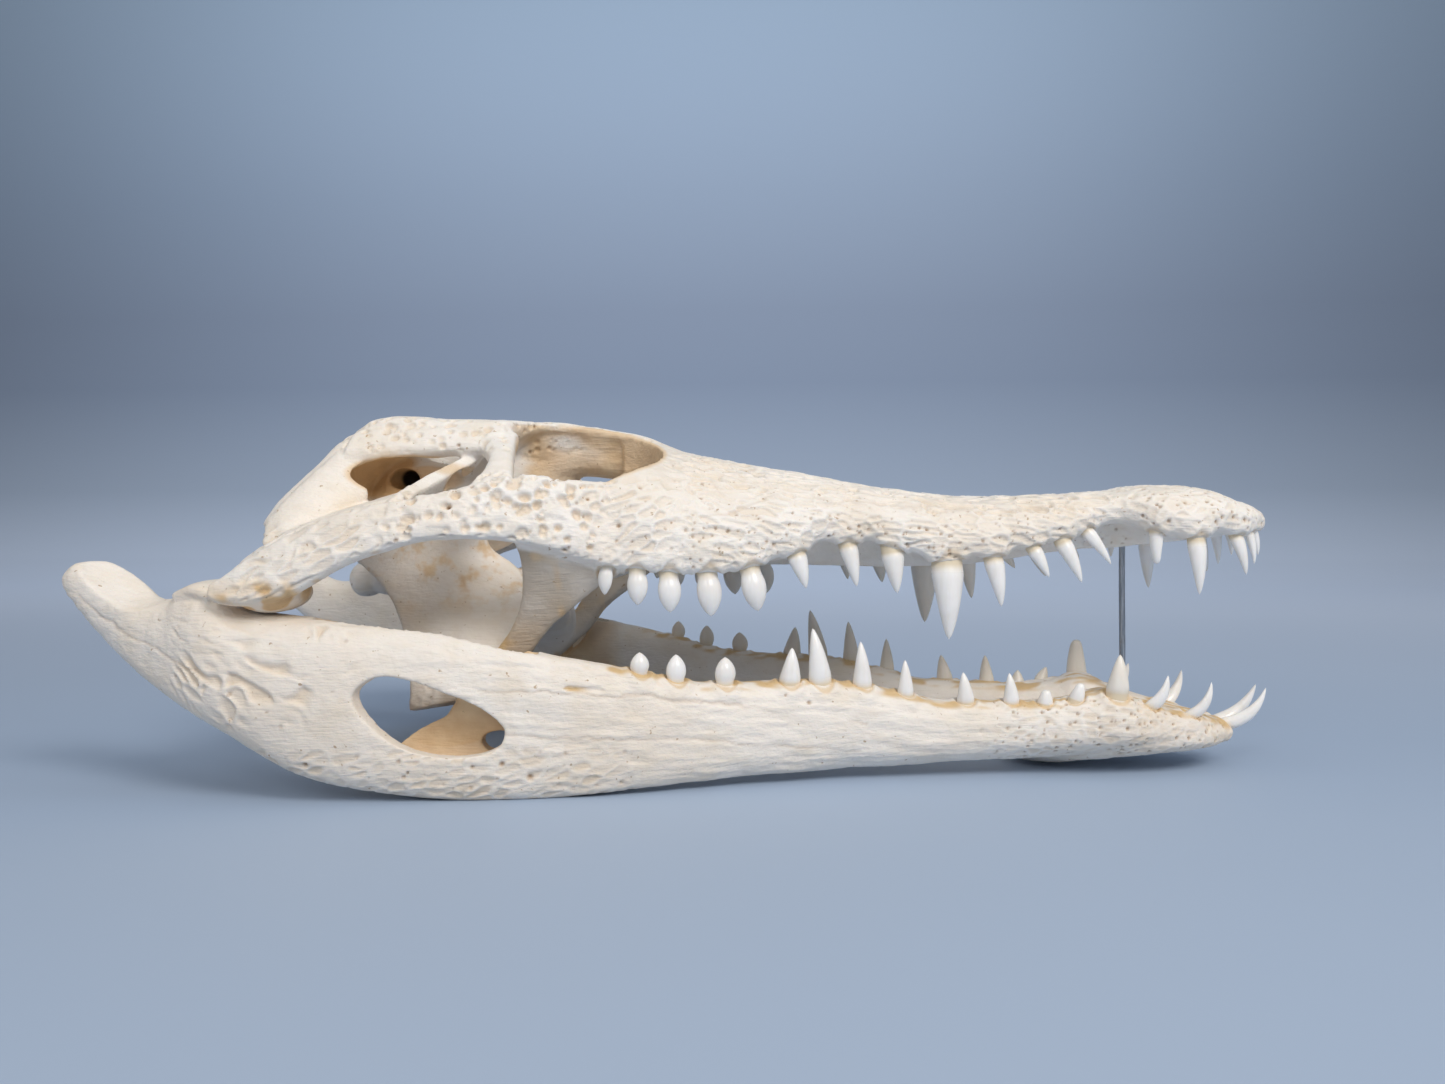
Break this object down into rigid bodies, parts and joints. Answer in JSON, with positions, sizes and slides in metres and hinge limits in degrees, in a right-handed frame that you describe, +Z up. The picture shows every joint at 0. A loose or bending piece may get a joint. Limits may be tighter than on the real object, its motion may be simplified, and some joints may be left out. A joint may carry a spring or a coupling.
{
  "type": "crocodile skull",
  "caption": "Life-size still model of a crocodile skull that rests on its lower jaw, with the toothed mouth held open by a thin upright rod.",
  "frame": {"origin": "centre of the bounding box on the table's surface, in the plane between the skull's two sides", "axes": "+X to the tip of the snout, +Z up, and the animal's left side at +Y"},
  "size_m": [0.3835, 0.164, 0.1182],
  "materials": {
    "bone": "dry bleached bone, matt to satin",
    "rod": "dull grey wire"
  },
  "bodies": {
    "root": {"cranium": "bone", "mandible_right": "bone", "mandible_left": "bone", "prop_rod": "rod"}
  },
  "joints": []
}
